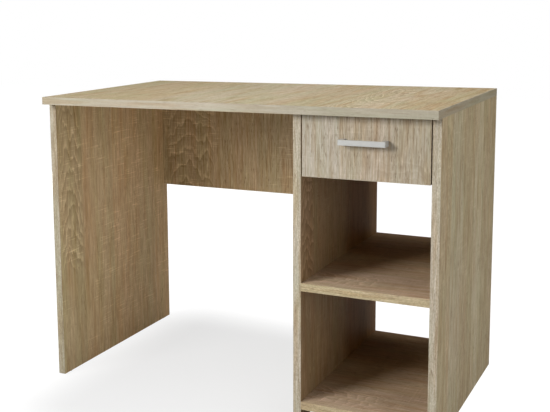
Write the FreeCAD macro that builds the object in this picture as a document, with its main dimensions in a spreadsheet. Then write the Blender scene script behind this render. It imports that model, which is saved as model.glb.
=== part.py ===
import FreeCAD, Part
import os
import re

import Sketcher
from FreeCAD import Placement, Rotation, Vector

# A computer desk: a board top on three upright panels, a modesty panel behind the knee space, and a
# cabinet on the right with a drawer over two open shelves. Millimetres, +X along the width, +Y to
# the wall behind the desk, +Z up, with the origin on the floor under the middle of the top.

# Driving sizes: alias, value, what it measures.
SIZES = (
    ("desk_width", 1014, "over the top, side to side"),
    ("desk_depth", 598, "over the top, front to back"),
    ("desk_height", 750, "floor to desktop"),
    ("board_thickness", 19, "melamine-faced chipboard"),
    ("top_overhang", 30, "top past the fronts of the uprights"),
    ("cabinet_width", 298, "clear width between the cabinet's sides"),
    ("modesty_height", 301, "modesty panel, down from the top"),
    ("bottom_shelf_rise", 31, "floor to the underside of the bottom shelf"),
    ("middle_shelf_rise", 318, "floor to the underside of the middle shelf"),
    ("top_band", 2, "edge band round the top"),
    ("edge_band", 1, "edge band on the other boards"),
    ("glide_height", 2, "nail-on floor glide"),
    ("glide_diameter", 17, "nail-on floor glide"),
    ("glide_inset", 32, "glide from the ends of an upright"),
    ("nail_diameter", 2, "nail of a glide"),
    ("nail_length", 14, "nail of a glide"),
    ("drawer_gap", 3, "round the drawer front"),
    ("drawer_front_height", 141, "drawer front"),
    ("drawer_side_height", 100, "drawer sides"),
    ("drawer_side_rise", 12, "drawer sides above the front's lower edge"),
    ("drawer_board", 12, "drawer sides and back"),
    ("drawer_band", 0.5, "foil on the drawer box's upper edges"),
    ("bottom_sheet", 3, "hardboard drawer bottom"),
    ("groove_depth", 6, "groove for the drawer bottom"),
    ("groove_rise", 8, "groove above the drawer sides' lower edge"),
    ("groove_play", 0.3, "between the drawer bottom and its groove"),
    ("runner_length", 400, "drawer runners and drawer sides"),
    ("runner_space", 12.5, "cabinet side to drawer side"),
    ("runner_steel", 1.2, "sheet of the runners"),
    ("runner_setback", 2, "runners behind the drawer front"),
    ("runner_drop", 1.3, "drawer runner's foot above the cabinet runner's lower flange"),
    ("flange_play", 1.4, "flange edge to the facing web"),
    ("flange_lift", 3.6, "free height over the drawer runner's flange"),
    ("foot_width", 9, "drawer runner's foot under the drawer side"),
    ("roller_radius", 9.5, "nylon rollers"),
    ("roller_inset", 13, "roller axle from the runner's end"),
    ("roller_gap", 0.3, "roller to the flange that it rolls on"),
    ("roller_flange_play", 1.5, "drawer roller to the drawer runner's flange"),
    ("roller_side_play", 1.55, "roller to each web"),
    ("roller_dish", 1, "recess in a roller's faces"),
    ("roller_rim", 2.5, "rim of a roller"),
    ("axle_radius", 2.5, "rivet that a roller turns on"),
    ("axle_play", 0.05, "roller bore to its rivet"),
    ("rivet_head", 0.7, "head that holds a roller on"),
    ("rivet_rim", 0.8, "rivet's head and shoulder past its shank"),
    ("cam_diameter", 15, "cam housings of the carcass"),
    ("cam_setback", 34, "cam housing from the board's end"),
    ("drawer_cam_diameter", 12, "cam housings of the drawer"),
    ("drawer_cam_setback", 24, "drawer cam housing from the board's end"),
    ("cam_play", 0.2, "cam housing to its hole"),
    ("cam_wall", 0.7, "cam housing under its chamber"),
    ("chamber_width", 7.6, "chamber in the cam for the bolt's head"),
    ("drawer_chamber_width", 6, "chamber in a drawer cam"),
    ("chamber_play", 0.4, "bolt's head to the chamber"),
    ("bolt_thread", 6, "cam bolt's thread diameter"),
    ("bolt_grip", 11, "cam bolt's thread length"),
    ("bolt_bore", 8, "bore in the board's end for the cam bolt"),
    ("dowel_diameter", 8, "beech dowels of the carcass"),
    ("drawer_dowel_diameter", 6, "beech dowels of the drawer"),
    ("dowel_in_end", 19, "dowel's length in the board's end"),
    ("dowel_in_face", 10.5, "dowel's length in the other board's face"),
    ("bore_play", 0.1, "round a dowel, thread or nail"),
    ("bore_spare", 0.8, "bore past the dowel's or thread's end"),
    ("top_cam_front", 196, "front cam of an upright, from its front edge"),
    ("top_cam_back", 84, "back cam of an upright, from its back edge"),
    ("top_dowel_front", 48, "front dowel of an upright, from its front edge"),
    ("top_dowel_back", 190, "back dowel of an upright, from its back edge"),
    ("shelf_cam_inset", 62, "shelf cams from the shelf's edges"),
    ("modesty_cam_inset", 62, "modesty panel's cams from its edges"),
    ("drawer_cam_rise", 50, "drawer cam above the drawer side's lower edge"),
    ("drawer_dowel_inset", 18, "drawer dowels from the drawer side's edges"),
    ("drawer_dowel_rise", 26, "lower drawer dowel above the drawer side's lower edge"),
    ("screw_diameter", 3.5, "chipboard screws"),
    ("screw_length", 15, "runner screws"),
    ("back_screw_length", 32, "screws through the drawer sides into the drawer back"),
    ("back_screw_inset", 20, "those screws from the drawer back's edges"),
    ("screw_head", 6, "head diameter of the chipboard screws"),
    ("screw_head_height", 1, "pan head of the runner screws"),
    ("runner_screw_inset", 52, "end screws from the runner's ends"),
    ("runner_screw_drop", 3.15, "runner screws below the drawer runner's flange"),
    ("handle_length", 108, "bridge handle"),
    ("handle_height", 12, "bridge handle"),
    ("handle_reach", 24, "handle out from the drawer front"),
    ("handle_bar", 6, "thickness of the handle's bar"),
    ("handle_leg", 12, "width of each leg"),
    ("handle_corner", 1.5, "handle's outer corners"),
    ("handle_rise", 85, "middle of the handle above the drawer front's lower edge"),
    ("handle_screw", 4, "machine screws of the handle"),
    ("handle_screw_hole", 4.6, "their clearance hole through the drawer front"),
    ("handle_screw_grip", 8, "their thread in the handle's legs"),
    ("handle_screw_head", 8, "their pan head"),
    ("handle_screw_head_height", 2.6, "their pan head"),
)

# Places and sizes that follow from the driving ones.
PLACES = {
    "desk_left": "-desk_width / 2",
    "desk_right": "desk_width / 2",
    "desk_front": "-desk_depth / 2",
    "desk_back": "desk_depth / 2",
    "side_front": "desk_front + top_overhang",
    "side_depth": "desk_depth - top_overhang",
    "under_top": "desk_height - board_thickness",
    "side_height": "under_top - glide_height",
    "outer_side_left": "desk_right - board_thickness",
    "inner_side_right": "outer_side_left - cabinet_width",
    "inner_side_left": "inner_side_right - board_thickness",
    "knee_width": "inner_side_left - desk_left - board_thickness",
    "front_left": "inner_side_right + drawer_gap",
    "front_width": "cabinet_width - 2 * drawer_gap",
    "front_bottom": "under_top - drawer_gap - drawer_front_height",
    "box_left": "inner_side_right + runner_space",
    "box_right": "outer_side_left - runner_space",
    "box_width": "cabinet_width - 2 * runner_space",
    "box_front": "side_front + board_thickness",
    "box_bottom": "front_bottom + drawer_side_rise",
    "groove_height": "bottom_sheet + groove_play",
    "back_rise": "groove_rise + groove_height",
    "foot_bottom": "box_bottom - runner_steel",
    "runner_bottom": "foot_bottom - runner_drop - runner_steel",
    "runner_front": "box_front + runner_setback",
    "drawer_runner_length": "runner_length - runner_setback",
    "flange_width": "runner_space - runner_steel - flange_play",
    "drawer_roller_rise": "runner_steel + roller_gap + roller_radius",
    "flange_rise": "drawer_roller_rise + roller_radius + roller_flange_play",
    "cabinet_roller_rise": "flange_rise - roller_gap - roller_radius",
    "runner_height": "flange_rise + 2 * runner_steel + flange_lift",
    "roller_width": "runner_space - 2 * runner_steel - 2 * roller_side_play",
    "roller_bore": "axle_radius + axle_play",
    "axle_length": "runner_steel + roller_side_play + roller_width + rivet_play + rivet_head",
    "rivet_play": "roller_side_play / 6",
    "rivet_radius": "axle_radius + rivet_rim",
    "cam_length": "board_thickness / 2 + chamber_width / 2 + cam_wall",
    "drawer_cam_length": "drawer_board / 2 + drawer_chamber_width / 2 + cam_wall",
    "sunk_depth": "(screw_head - screw_diameter) / 2",
    "runner_screw_rise": "flange_rise - runner_screw_drop",
    "handle_middle": "front_left + front_width / 2",
    "handle_screw_spacing": "handle_length - handle_leg",
    "handle_screw_length": "board_thickness + handle_screw_grip",
}

# Which way each face of a board looks: the axis it is square to, and whether it is the far face.
FACES = {
    "left": (0, False),
    "right": (0, True),
    "front": (1, False),
    "back": (1, True),
    "bottom": (2, False),
    "top": (2, True),
}
OPPOSITE = {"left": "right", "right": "left", "front": "back", "back": "front",
            "bottom": "top", "top": "bottom"}
# The origin plane square to each axis. XZ_Plane looks along -Y, the other two along +X and +Z.
PLANES = ("YZ_Plane", "XZ_Plane", "XY_Plane")

doc = FreeCAD.newDocument("computer_desk")
sheet = doc.addObject("Spreadsheet::Sheet", "Sizes")
for row, (alias, value, note) in enumerate(SIZES, start=1):
    sheet.set(f"A{row}", note)
    sheet.set(f"B{row}", str(value))
    sheet.setAlias(f"B{row}", alias)
doc.recompute()

ALIASES = {alias for alias, value, note in SIZES}
boards = {}
parts = {}


def expand(text):
    """Write out every named place and size in a formula."""
    def spell(word):
        name = word.group(0)
        if name in PLACES:
            return f"({expand(PLACES[name])})"
        if name in ALIASES:
            return f"Sizes.{name}"
        return name
    return re.sub(r"[a-z_]+", spell, text)


def number(text):
    """What a formula comes to now."""
    return float(sheet.evalExpression(expand(text)))


def bind(thing, name, text):
    thing.setExpression(name, expand(text))


def keep(thing, node):
    """Make a document object one of the desk's sub-parts."""
    thing.Label = node
    parts[node] = thing
    return thing


def put(thing, place, rotation=Rotation()):
    """Bind a placement to three formulas."""
    thing.Placement = Placement(Vector(), rotation)
    for letter, text in zip("xyz", place):
        bind(thing, f"Placement.Base.{letter}", text)
    return thing


def new_body(name, place=("0", "0", "0")):
    return put(doc.addObject("PartDesign::Body", name), place)


def sketch_on(body, name, axis, offset="0"):
    """A sketch square to an axis of the body, moved along that axis."""
    sketch = body.newObject("Sketcher::SketchObject", name)
    planes = body.Origin.OriginFeatures
    sketch.AttachmentSupport = (next(p for p in planes if p.Role == PLANES[axis]), [""])
    sketch.MapMode = "FlatFace"
    bind(sketch, "AttachmentOffset.Base.z", f"-({offset})" if axis == 1 else offset)
    return sketch


def fix_point(sketch, item, end, spot):
    """Hold one point of a sketch at two formulas."""
    for direction, text in zip(("DistanceX", "DistanceY"), spot):
        rule = f"{direction}{item}"
        added = Sketcher.Constraint(direction, -1, 1, item, end, number(text))
        sketch.renameConstraint(sketch.addConstraint(added), rule)
        bind(sketch, f"Constraints.{rule}", text)


def outline(sketch, spots):
    """Draw a closed outline of straight lines through the spots."""
    points = [Vector(number(u), number(v), 0) for u, v in spots]
    for start, end in zip(points, points[1:] + points[:1]):
        sketch.addGeometry(Part.LineSegment(start, end), False)
    for item in range(len(spots)):
        following = (item + 1) % len(spots)
        sketch.addConstraint(Sketcher.Constraint("Coincident", item, 2, following, 1))
    for item, spot in enumerate(spots):
        fix_point(sketch, item, 1, spot)
    return sketch


def circles(sketch, spots, diameter):
    """Draw a circle of one diameter at each spot."""
    for item, (u, v) in enumerate(spots):
        middle = Vector(number(u), number(v), 0)
        sketch.addGeometry(Part.Circle(middle, Vector(0, 0, 1), number(diameter) / 2), False)
        fix_point(sketch, item, 3, (u, v))
        rule = f"Diameter{item}"
        added = Sketcher.Constraint("Diameter", item, number(diameter))
        sketch.renameConstraint(sketch.addConstraint(added), rule)
        bind(sketch, f"Constraints.{rule}", diameter)
    return sketch


def pad(body, sketch, length, backwards=False):
    feature = body.newObject("PartDesign::Pad", f"{sketch.Name}_pad")
    feature.Profile = sketch
    feature.Reversed = backwards
    bind(feature, "Length", length)
    return feature


def cut(body, sketch, depth, backwards=False):
    """Pocket a sketch, and make sure that it took something away."""
    doc.recompute()
    before = body.Shape.Volume
    feature = body.newObject("PartDesign::Pocket", f"{sketch.Name}_pocket")
    feature.Profile = sketch
    feature.Reversed = backwards
    bind(feature, "Length", depth)
    doc.recompute()
    if not body.Shape.Volume < before:
        raise RuntimeError(f"{sketch.Name} cuts nothing")
    return feature


def turned(body, name, spots):
    """A solid turned about the body's X axis from (along, radius) spots."""
    sketch = outline(sketch_on(body, name, 2), spots)
    feature = body.newObject("PartDesign::Revolution", f"{name}_turning")
    feature.Profile = sketch
    feature.ReferenceAxis = (sketch, ["H_Axis"])
    feature.Angle = 360
    return feature


def rectangle(u_low, v_low, u_high, v_high):
    return [(u_low, v_low), (u_high, v_low), (u_high, v_high), (u_low, v_high)]


def group(node, things):
    """Separate solids that share one sub-part."""
    compound = doc.addObject("Part::Compound", node)
    compound.Links = things
    return keep(compound, node)


def copies(node, master, places):
    """One sub-part of identical pieces: a link to the master piece at each place."""
    links = []
    for count, (place, rotation) in enumerate(places, start=1):
        link = doc.addObject("App::Link", f"{node}_{count}")
        link.LinkedObject = master
        links.append(put(link, place, rotation))
    return group(node, links)


# Boards

def board(node, low, size, banded=(), band="edge_band", band_node=None):
    """A board between its finished faces, cut back by the band's thickness on each banded edge."""
    starts = ["0", "0", "0"]
    ends = list(size)
    for edge in banded:
        axis, far = FACES[edge]
        if far:
            ends[axis] = f"{size[axis]} - {band}"
        else:
            starts[axis] = band
    body = new_body(node, low)
    face = sketch_on(body, f"{node}_face", 2, starts[2])
    pad(body, outline(face, rectangle(starts[0], starts[1], ends[0], ends[1])),
        f"{ends[2]} - {starts[2]}")
    boards[node] = (low, size)
    keep(body, node)
    if banded:
        strips = [strip(node, edge, low, size, starts, ends, band) for edge in banded]
        group(band_node or f"{node}_edge_bands", strips)
    return body


def strip(node, edge, low, size, starts, ends, band):
    """The band on one edge. Bands on left and right edges end at the bands that they meet."""
    box = doc.addObject("Part::Box", f"{node}_{edge}_band")
    axis, far = FACES[edge]
    for other, name in enumerate(("Length", "Width", "Height")):
        begin, length = "0", size[other]
        if other == axis:
            begin, length = (ends[axis] if far else "0"), band
        elif axis == 0:
            begin, length = starts[other], f"{ends[other]} - {starts[other]}"
        bind(box, name, length)
        bind(box, f"Placement.Base.{'xyz'[other]}", f"{low[other]} + {begin}")
    return box


def drill(node, name, face, spots, diameter, depth):
    """Bore holes into one face of a board. A spot is measured from the board's finished corner."""
    axis, far = FACES[face]
    size = boards[node][1]
    sketch = sketch_on(parts[node], f"{node}_{name}", axis, size[axis] if far else "0")
    circles(sketch, spots, diameter)
    into_board_is_forwards = far if axis == 1 else not far
    cut(parts[node], sketch, depth, into_board_is_forwards)


def carried(node, spot):
    """A spot of a board, in the desk's own coordinates."""
    return [f"{a} + {b}" for a, b in zip(boards[node][0], spot)]


def onto(mate, place):
    """A place of the desk, measured from another board's finished corner."""
    return [f"{a} - ({b})" for a, b in zip(place, boards[mate][0])]


def flat(spot, axis):
    """Leave out the axis that a face is square to."""
    return tuple(text for other, text in enumerate(spot) if other != axis)


def direction(face):
    axis, far = FACES[face]
    way = [0, 0, 0]
    way[axis] = 1 if far else -1
    return Vector(*way)


def turn(along, outward):
    """The rotation that takes X to one direction and Z to another."""
    return Rotation(along, outward.cross(along), outward, "ZXY")


cams, bolts, dowels = [], [], []
drawer_cams, drawer_bolts, drawer_dowels = [], [], []
CARCASS = {"cam": "cam_diameter", "length": "cam_length", "setback": "cam_setback",
           "chamber": "chamber_width", "dowel": "dowel_diameter",
           "cams": cams, "bolts": bolts, "dowels": dowels}
DRAWER = {"cam": "drawer_cam_diameter", "length": "drawer_cam_length",
          "setback": "drawer_cam_setback", "chamber": "drawer_chamber_width",
          "dowel": "drawer_dowel_diameter",
          "cams": drawer_cams, "bolts": drawer_bolts, "dowels": drawer_dowels}


def join(node, end, mate, cam_face, cam_stations, dowel_stations, kit):
    """Join a board's end to the face of another board with cams, cam bolts and dowels.

    A station is how far along the end the fitting sits, from the board's finished corner.
    """
    along, far_end = FACES[end]
    across, far_face = FACES[cam_face]
    station_axis = 3 - along - across
    size = boards[node][1]

    def spot(inward, station, on_face=False):
        place = [None, None, None]
        place[along] = f"{size[along]} - ({inward})" if far_end else inward
        place[across] = f"{size[across]} / 2"
        if on_face:
            place[across] = size[across] if far_face else "0"
        place[station_axis] = station
        return place

    def bore_both(name, stations, diameter, in_end, in_face):
        ends = [spot("0", station) for station in stations]
        drill(node, f"{end}_{name}", end, [flat(s, along) for s in ends], diameter[0], in_end)
        met = [onto(mate, carried(node, s)) for s in ends]
        drill(mate, f"{node}_{end}_{name}", OPPOSITE[end], [flat(s, along) for s in met],
              diameter[1], in_face)

    rotation = turn(direction(end), direction(cam_face))
    bore_both("bolts", cam_stations, ("bolt_bore", "bolt_thread + bore_play"),
              kit["setback"], "bolt_grip + bore_spare")
    holes = [spot(kit["setback"], station, on_face=True) for station in cam_stations]
    drill(node, f"{end}_cams", cam_face, [flat(s, across) for s in holes],
          f"{kit['cam']} + 2 * cam_play", f"{kit['length']} + cam_play")
    for station, hole in zip(cam_stations, holes):
        head_back = f"{kit['setback']} + {kit['chamber']} / 2 - chamber_play"
        kit["cams"].append((carried(node, hole), rotation))
        kit["bolts"].append((carried(node, spot(head_back, station)), rotation))
    bored = f"{kit['dowel']} + bore_play"
    bore_both("dowels", dowel_stations, (bored, bored),
              "dowel_in_end + bore_spare", "dowel_in_face + bore_spare")
    for station in dowel_stations:
        kit["dowels"].append((carried(node, spot("dowel_in_end", station)), rotation))


SIDE_SIZE = ("board_thickness", "side_depth", "side_height")
SHELF_SIZE = ("cabinet_width", "side_depth", "board_thickness")
board("desk_top", ("desk_left", "desk_front", "under_top"),
      ("desk_width", "desk_depth", "board_thickness"),
      ("front", "back", "left", "right"), "top_band", "top_edge_bands")
board("left_side_panel", ("desk_left", "side_front", "glide_height"), SIDE_SIZE,
      ("front", "back"), band_node="left_side_edge_bands")
board("cabinet_inner_side", ("inner_side_left", "side_front", "glide_height"), SIDE_SIZE,
      ("front", "back"), band_node="inner_side_edge_bands")
board("cabinet_outer_side", ("outer_side_left", "side_front", "glide_height"), SIDE_SIZE,
      ("front", "back"), band_node="outer_side_edge_bands")
board("modesty_panel", ("desk_left + board_thickness", "desk_back - board_thickness",
                        "under_top - modesty_height"),
      ("knee_width", "board_thickness", "modesty_height"), ("bottom",),
      band_node="modesty_edge_band")
board("middle_shelf", ("inner_side_right", "side_front", "middle_shelf_rise"), SHELF_SIZE,
      ("front", "back"))
board("bottom_shelf", ("inner_side_right", "side_front", "bottom_shelf_rise"), SHELF_SIZE,
      ("front", "back"))

# The uprights stand under the top, each held by two cams and two dowels.
UPRIGHTS = (("left_side_panel", "right"), ("cabinet_inner_side", "right"),
            ("cabinet_outer_side", "left"))
for upright, inner_face in UPRIGHTS:
    join(upright, "top", "desk_top", inner_face,
         ("top_cam_front", "side_depth - top_cam_back"),
         ("top_dowel_front", "side_depth - top_dowel_back"), CARCASS)
for shelf in ("middle_shelf", "bottom_shelf"):
    for end, upright in (("left", "cabinet_inner_side"), ("right", "cabinet_outer_side")):
        join(shelf, end, upright, "bottom",
             ("shelf_cam_inset", "side_depth - shelf_cam_inset"), ("side_depth / 2",), CARCASS)
for end, upright in (("left", "left_side_panel"), ("right", "cabinet_inner_side")):
    join("modesty_panel", end, upright, "back",
         ("modesty_cam_inset", "modesty_height - modesty_cam_inset"),
         ("modesty_height / 2",), CARCASS)

# The drawer box behind its front
DRAWER_SIDE = ("drawer_board", "runner_length", "drawer_side_height")
board("drawer_front", ("front_left", "side_front", "front_bottom"),
      ("front_width", "board_thickness", "drawer_front_height"),
      ("bottom", "top", "left", "right"))
board("drawer_left_side", ("box_left", "box_front", "box_bottom"), DRAWER_SIDE, ("top",),
      "drawer_band", "drawer_left_side_band")
board("drawer_right_side", ("box_right - drawer_board", "box_front", "box_bottom"), DRAWER_SIDE,
      ("top",), "drawer_band", "drawer_right_side_band")
BACK_WIDTH = "box_width - 2 * drawer_board"
board("drawer_back", ("box_left + drawer_board", "box_front + runner_length - drawer_board",
                      "box_bottom + back_rise"),
      (BACK_WIDTH, "drawer_board", "drawer_side_height - back_rise"), ("top",),
      "drawer_band", "drawer_back_band")
for side, inner_face in (("drawer_left_side", "right"), ("drawer_right_side", "left")):
    join(side, "front", "drawer_front", inner_face, ("drawer_cam_rise",),
         ("drawer_dowel_rise", "drawer_side_height - drawer_dowel_inset"), DRAWER)


def groove(node, name, axis, plane, low, high, depth, backwards):
    """Plough the groove for the drawer bottom, between two spots of the board's face."""
    sketch = sketch_on(parts[node], f"{node}_{name}", axis, plane)
    outline(sketch, rectangle(low[0], low[1], high[0], high[1]))
    cut(parts[node], sketch, depth, backwards)


groove("drawer_left_side", "groove", 0, "drawer_board", ("0", "groove_rise"),
       ("runner_length", "back_rise"), "groove_depth", False)
groove("drawer_right_side", "groove", 0, "0", ("0", "groove_rise"),
       ("runner_length", "back_rise"), "groove_depth", True)
SHEET_MARGIN = "drawer_board - groove_depth"
SHEET_LEFT = f"box_left + {SHEET_MARGIN} - front_left"
FRONT_GROOVE_RISE = "drawer_side_rise + groove_rise"
groove("drawer_front", "groove", 1, "board_thickness", (SHEET_LEFT, FRONT_GROOVE_RISE),
       (f"{SHEET_LEFT} + box_width - 2 * ({SHEET_MARGIN})",
        f"{FRONT_GROOVE_RISE} + groove_height"), "groove_depth", True)
board("drawer_bottom", (f"box_left + {SHEET_MARGIN} + groove_play",
                        "box_front - groove_depth + groove_play", "box_bottom + groove_rise"),
      (f"box_width - 2 * ({SHEET_MARGIN}) - 2 * groove_play",
       "groove_depth - groove_play + runner_length", "bottom_sheet"))


# Fittings that hold the boards together

def cross_recess(body, name, axis, offset, arm, width, depth, backwards):
    """A cross for a screwdriver."""
    for tag, u, v in (("wide", arm, width), ("tall", width, arm)):
        sketch = sketch_on(body, f"{name}_{tag}", axis, offset)
        outline(sketch, rectangle(f"-{u}", f"-{v}", u, v))
        cut(body, sketch, depth, backwards)


def cam_master(name, kit, thickness):
    """A cam housing with its outer face on Z = 0, its chamber open along +X."""
    body = new_body(name)
    pad(body, circles(sketch_on(body, f"{name}_disc", 2), [("0", "0")], kit["cam"]),
        kit["length"], backwards=True)
    chamber = sketch_on(body, f"{name}_chamber", 2, f"-({thickness} - {kit['chamber']}) / 2")
    half = f"{kit['chamber']} / 2"
    cut(body, outline(chamber, rectangle(f"-{half}", f"-{half}", kit["cam"], half)),
        kit["chamber"])
    cross_recess(body, f"{name}_cross", 2, "0", "2.6", "0.7", "2.2", False)
    return body


def bolt_master(name, kit):
    """A cam bolt with the back of its head on X = 0 and its thread at the far end."""
    head = f"({kit['chamber']} / 2 - chamber_play)"
    joint = f"({kit['setback']} + {head})"
    body = new_body(name)
    turned(body, f"{name}_profile", [
        ("0", "0"), ("0", f"{head} * 0.6"), (f"{head} * 0.4", head), (head, head),
        (f"{head} * 1.4", "1.6"), (f"{head} + {kit['cam']} / 2", "1.6"),
        (f"{head} + {kit['cam']} / 2 + 1.5", "2.6"), (f"{joint} - 2", "2.6"),
        (f"{joint} - 2", "bolt_bore / 2 - bore_play"), (joint, "bolt_bore / 2 - bore_play"),
        (joint, "bolt_thread / 2"), (f"{joint} + bolt_grip - 1.5", "bolt_thread / 2"),
        (f"{joint} + bolt_grip", "bolt_thread / 2 - 1.2"), (f"{joint} + bolt_grip", "0")])
    return body


def dowel_master(name, kit):
    """A dowel with chamfered ends, from X = 0."""
    radius = f"{kit['dowel']} / 2"
    length = "(dowel_in_end + dowel_in_face)"
    body = new_body(name)
    turned(body, f"{name}_profile", [
        ("0", "0"), ("0", f"{radius} - 1"), ("1", radius), (f"{length} - 1", radius),
        (length, f"{radius} - 1"), (length, "0")])
    return body


copies("cam_housings", cam_master("cam", CARCASS, "board_thickness"), cams)
copies("cam_bolts", bolt_master("bolt", CARCASS), bolts)
copies("carcass_dowels", dowel_master("dowel", CARCASS), dowels)
copies("drawer_cam_housings", cam_master("drawer_cam", DRAWER, "drawer_board"), drawer_cams)
copies("drawer_cam_bolts", bolt_master("drawer_bolt", DRAWER), drawer_bolts)
copies("drawer_dowels", dowel_master("drawer_dowel", DRAWER), drawer_dowels)

# Floor glides, nailed under the uprights near both ends
GLIDE_STATIONS = ("glide_inset", "side_depth - glide_inset")
NAIL_BORE = "nail_diameter + bore_play"
glide = new_body("glide")
turned(glide, "glide_profile", [
    ("0", "nail_diameter / 2 + bore_play"), ("0", "glide_diameter / 2 - 1"),
    ("1", "glide_diameter / 2"), ("glide_height", "glide_diameter / 2"),
    ("glide_height", "nail_diameter / 2 + bore_play")])
nail = new_body("glide_nail")
turned(nail, "glide_nail_profile", [
    ("0.4", "0"), ("0.4", "nail_diameter / 2"), ("nail_length - 2", "nail_diameter / 2"),
    ("nail_length", "0.2"), ("nail_length", "0")])
UPWARD = turn(Vector(0, 0, 1), Vector(0, 1, 0))
glides = []
for upright, inner_face in UPRIGHTS:
    spots = [("board_thickness / 2", station) for station in GLIDE_STATIONS]
    drill(upright, "glide_nails", "bottom", spots, NAIL_BORE, "nail_length")
    glides += [(carried(upright, (u, v, "-glide_height")), UPWARD) for u, v in spots]
copies("floor_glides", glide, glides)
copies("glide_nails", nail, glides)


# Drawer runners. Each is drawn for the left side and mirrored for the right one.

def profile_pad(name, place, spots, length):
    """A folded sheet section in the XZ plane, drawn out towards +Y."""
    body = new_body(name, place)
    pad(body, outline(sketch_on(body, f"{name}_section", 1), spots), length, backwards=True)
    return body


def mirrored(node, source):
    """The same piece on the other side of the cabinet's middle."""
    copy = doc.addObject("Part::Mirroring", node)
    copy.Source = source
    copy.Normal = Vector(1, 0, 0)
    bind(copy, "Base.x", "(inner_side_right + outer_side_left) / 2")
    return keep(copy, node)


def pair(name, body):
    """Keep a left piece and make the right one."""
    keep(body, f"{name}_left")
    mirrored(f"{name}_right", body)


def runner_holes(body, name, axis_offset, stations, rise, diameter):
    sketch = sketch_on(body, f"{name}_holes", 0, axis_offset)
    cut(body, circles(sketch, [(station, rise) for station in stations], diameter),
        "2 * runner_steel", backwards=True)


SCREW_HOLE = "screw_diameter + 2 * bore_play"
AXLE_HOLE = "2 * (axle_radius + bore_play)"
SCREW_STATIONS = ("runner_screw_inset", "runner_length / 2", "runner_length - runner_screw_inset")
LIP = "runner_height - runner_steel"

cabinet_runner = profile_pad(
    "cabinet_runner", ("inner_side_right", "runner_front", "runner_bottom"),
    [("0", "0"), ("flange_width", "0"), ("flange_width", "runner_steel"),
     ("runner_steel", "runner_steel"), ("runner_steel", LIP), ("flange_width", LIP),
     ("flange_width", "runner_height"), ("0", "runner_height")], "runner_length")
runner_holes(cabinet_runner, "cabinet_runner", "-runner_steel / 2", SCREW_STATIONS,
             "runner_screw_rise", SCREW_HOLE)
runner_holes(cabinet_runner, "cabinet_runner_axle", "-runner_steel / 2", ("roller_inset",),
             "cabinet_roller_rise", AXLE_HOLE)
pair("cabinet_runner", cabinet_runner)

# The drawer runner's corner is at the cabinet's side, so that both runners share one profile frame.
WEB = "runner_space - runner_steel"
FOOT = "runner_steel + runner_drop"
DRAWER_SCREW_STATIONS = ("runner_screw_inset", "drawer_runner_length / 2",
                         "drawer_runner_length - runner_screw_inset")
DRAWER_AXLE = "drawer_runner_length - roller_inset"
drawer_runner = profile_pad(
    "drawer_runner", ("inner_side_right", "runner_front", "runner_bottom"),
    [(WEB, FOOT), ("runner_space + foot_width", FOOT),
     ("runner_space + foot_width", f"{FOOT} + runner_steel"),
     ("runner_space", f"{FOOT} + runner_steel"), ("runner_space", "flange_rise + runner_steel"),
     ("runner_steel + flange_play", "flange_rise + runner_steel"),
     ("runner_steel + flange_play", "flange_rise"), (WEB, "flange_rise")],
    "drawer_runner_length")
runner_holes(drawer_runner, "drawer_runner", f"{WEB} - runner_steel / 2",
             DRAWER_SCREW_STATIONS, "runner_screw_rise", SCREW_HOLE)
runner_holes(drawer_runner, "drawer_runner_axle", f"{WEB} - runner_steel / 2", (DRAWER_AXLE,),
             "drawer_roller_rise", AXLE_HOLE)
pair("drawer_runner", drawer_runner)


def roller(name, along, rise):
    """A nylon roller with dished faces, between the two webs."""
    body = new_body(name, ("inner_side_right + runner_steel + roller_side_play",
                           f"runner_front + {along}", f"runner_bottom + {rise}"))
    hub = "roller_bore + 1.6"
    rim = "roller_radius - roller_rim"
    near, far = "roller_dish", "roller_width - roller_dish"
    turned(body, f"{name}_profile", [
        ("0", "roller_bore"), ("0", hub), (near, hub), (near, rim), ("0", rim),
        ("0", "roller_radius - 0.5"), ("0.5", "roller_radius"),
        ("roller_width - 0.5", "roller_radius"), ("roller_width", "roller_radius - 0.5"),
        ("roller_width", rim), (far, rim), (far, hub), ("roller_width", hub),
        ("roller_width", "roller_bore")])
    pair(name, body)


roller("cabinet_roller", "roller_inset", "cabinet_roller_rise")
roller("drawer_roller", DRAWER_AXLE, "drawer_roller_rise")

# The rivets that the rollers turn on, headed past the roller
axle = new_body("roller_axle")
SHANK = "axle_length - rivet_head"
SHOULDER = "runner_steel + roller_side_play - rivet_play"
turned(axle, "roller_axle_profile", [
    ("0", "0"), ("0", "axle_radius"), ("runner_steel", "axle_radius"),
    ("runner_steel", "rivet_radius"), (SHOULDER, "rivet_radius"), (SHOULDER, "axle_radius"),
    (SHANK, "axle_radius"), (SHANK, "rivet_radius"),
    ("axle_length - 0.3", "rivet_radius"), ("axle_length", "rivet_radius - 0.6"),
    ("axle_length", "0")])
RIGHTWARD = turn(Vector(1, 0, 0), Vector(0, 0, 1))
LEFTWARD = turn(Vector(-1, 0, 0), Vector(0, 0, 1))


def facing_pair(from_side, along, rise):
    """The same place on each side of the cabinet."""
    spot = (f"runner_front + {along}", f"runner_bottom + {rise}")
    return ((f"inner_side_right + {from_side}", *spot),
            (f"outer_side_left - ({from_side})", *spot))


left_place, right_place = facing_pair("0", "roller_inset", "cabinet_roller_rise")
copies("cabinet_roller_axles", axle, [(left_place, RIGHTWARD), (right_place, LEFTWARD)])
left_place, right_place = facing_pair("runner_space", DRAWER_AXLE, "drawer_roller_rise")
copies("drawer_roller_axles", axle, [(left_place, LEFTWARD), (right_place, RIGHTWARD)])


# Screws

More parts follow.
